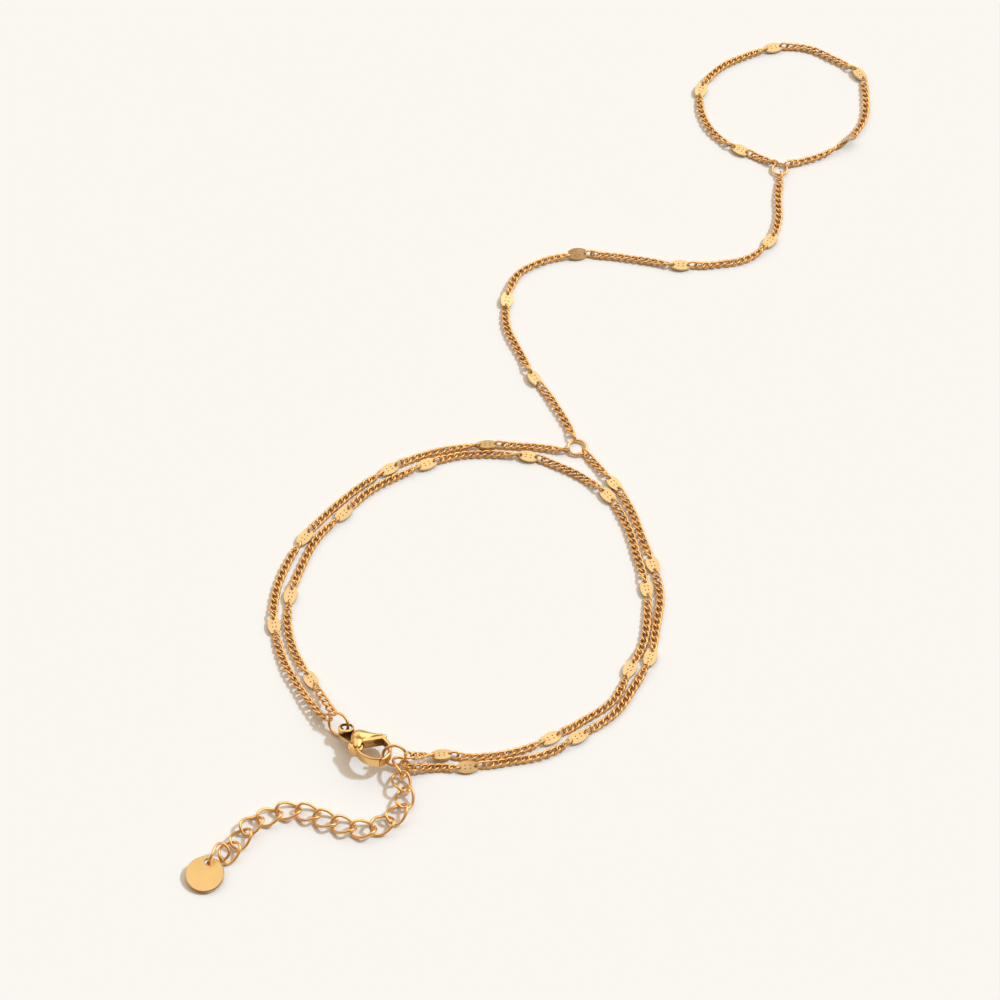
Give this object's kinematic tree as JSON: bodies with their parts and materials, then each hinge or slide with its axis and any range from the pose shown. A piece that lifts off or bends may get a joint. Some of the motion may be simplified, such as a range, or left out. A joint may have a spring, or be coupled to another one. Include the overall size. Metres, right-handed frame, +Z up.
{
  "type": "hand chain bracelet",
  "caption": "Fine curb-chain hand bracelet lying flat: a finger loop joined by a connector to a double wrist loop, with pressed plates, a sprung clasp, an extender and a round tag.",
  "frame": {"origin": "middle of the bracelet's outline as it lies, on the surface it rests on", "axes": "+Y from the extender's end towards the finger loop, +X to the right as laid, +Z up from the surface"},
  "size_m": [0.1055, 0.1657, 0.004],
  "materials": {
    "gold": "polished"
  },
  "bodies": {
    "bracelet": {"finger_chain": "gold", "connector_chain": "gold", "left_chain": "gold", "inner_chain": "gold", "right_chain": "gold", "finger_plate_1": "gold", "finger_plate_2": "gold", "finger_plate_3": "gold", "finger_plate_4": "gold", "finger_plate_5": "gold", "connector_plate_1": "gold", "connector_plate_2": "gold", "connector_plate_3": "gold", "connector_plate_4": "gold", "connector_plate_5": "gold", "left_plate_1": "gold", "left_plate_2": "gold", "left_plate_3": "gold", "left_plate_4": "gold", "inner_plate_1": "gold", "inner_plate_2": "gold", "inner_plate_3": "gold", "inner_plate_4": "gold", "inner_plate_5": "gold", "inner_plate_6": "gold", "inner_plate_7": "gold", "inner_plate_8": "gold", "inner_plate_9": "gold", "inner_plate_10": "gold", "right_plate_1": "gold", "right_plate_2": "gold", "right_plate_3": "gold", "right_plate_4": "gold", "right_plate_5": "gold", "extender_link_1": "gold", "extender_link_2": "gold", "extender_link_3": "gold", "extender_link_4": "gold", "extender_link_5": "gold", "extender_link_6": "gold", "extender_link_7": "gold", "extender_link_8": "gold", "extender_link_9": "gold", "extender_link_10": "gold", "extender_link_11": "gold", "extender_link_12": "gold", "extender_link_13": "gold", "extender_link_14": "gold", "extender_link_15": "gold", "finger_ring": "gold", "wrist_ring": "gold", "left_ring": "gold", "right_ring": "gold", "tag": "gold", "clasp_body": "gold"},
    "lever": {"clasp_lever": "gold"}
  },
  "joints": [
    {"name": "lever_hinge", "type": "hinge", "parent": "bracelet", "child": "lever", "pos_m": [-0.02895, -0.05935, 0.00221], "axis": [0, 0.1736, 0.9848], "range_deg": [0, 8], "stiffness_Nm_per_rad": 0.001, "springref_deg": -5.73}
  ]
}
